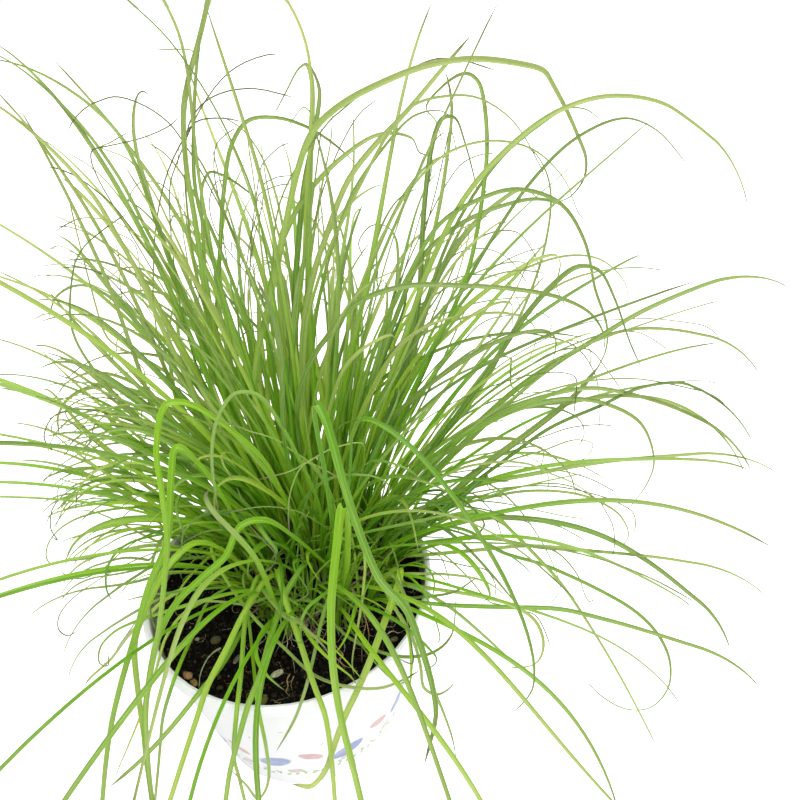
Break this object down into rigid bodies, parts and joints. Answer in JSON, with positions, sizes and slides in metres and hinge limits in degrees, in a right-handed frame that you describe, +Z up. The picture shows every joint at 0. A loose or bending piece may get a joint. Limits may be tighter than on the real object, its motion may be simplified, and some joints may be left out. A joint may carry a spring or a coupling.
{
  "type": "potted ornamental grass",
  "caption": "Clump of fine, arching, bright green ornamental grass growing from dark potting soil in a small round white plastic nursery pot.",
  "frame": {"origin": "middle of the flat pad under the pot, on the surface that the pot stands on", "axes": "+Z up along the pot's axis, -Y towards the side that the picture was taken from, +X to the right in the picture"},
  "size_m": [0.4124, 0.4166, 0.293],
  "materials": {
    "pot_plastic": "thin white moulded plastic, satin, with a printed band low on its wall",
    "potting_soil": "moist black peat with grit and bark chips",
    "grass_leaf": "fresh yellow-green leaf, satin, paler at the sheath and browner at the tip"
  },
  "bodies": {
    "root": {"pot": "pot_plastic", "potting_soil": "potting_soil", "shoot_01": "grass_leaf", "shoot_02": "grass_leaf", "shoot_03": "grass_leaf", "shoot_04": "grass_leaf", "shoot_05": "grass_leaf", "shoot_06": "grass_leaf", "shoot_07": "grass_leaf", "shoot_08": "grass_leaf", "shoot_09": "grass_leaf", "shoot_10": "grass_leaf", "shoot_11": "grass_leaf", "shoot_12": "grass_leaf", "shoot_13": "grass_leaf", "shoot_14": "grass_leaf", "shoot_15": "grass_leaf", "shoot_16": "grass_leaf", "shoot_17": "grass_leaf", "shoot_18": "grass_leaf", "shoot_19": "grass_leaf", "shoot_20": "grass_leaf", "shoot_21": "grass_leaf", "shoot_22": "grass_leaf", "shoot_23": "grass_leaf", "shoot_24": "grass_leaf", "shoot_25": "grass_leaf", "shoot_26": "grass_leaf", "shoot_27": "grass_leaf", "shoot_28": "grass_leaf", "shoot_29": "grass_leaf", "shoot_30": "grass_leaf", "shoot_31": "grass_leaf", "shoot_32": "grass_leaf", "shoot_33": "grass_leaf", "shoot_34": "grass_leaf", "shoot_35": "grass_leaf", "shoot_36": "grass_leaf", "shoot_37": "grass_leaf", "shoot_38": "grass_leaf", "shoot_39": "grass_leaf", "shoot_40": "grass_leaf", "shoot_41": "grass_leaf", "shoot_42": "grass_leaf", "shoot_43": "grass_leaf", "shoot_44": "grass_leaf", "shoot_45": "grass_leaf", "shoot_46": "grass_leaf", "shoot_47": "grass_leaf", "shoot_48": "grass_leaf", "shoot_49": "grass_leaf", "shoot_50": "grass_leaf", "shoot_51": "grass_leaf", "shoot_52": "grass_leaf", "shoot_53": "grass_leaf", "shoot_54": "grass_leaf"}
  },
  "joints": []
}
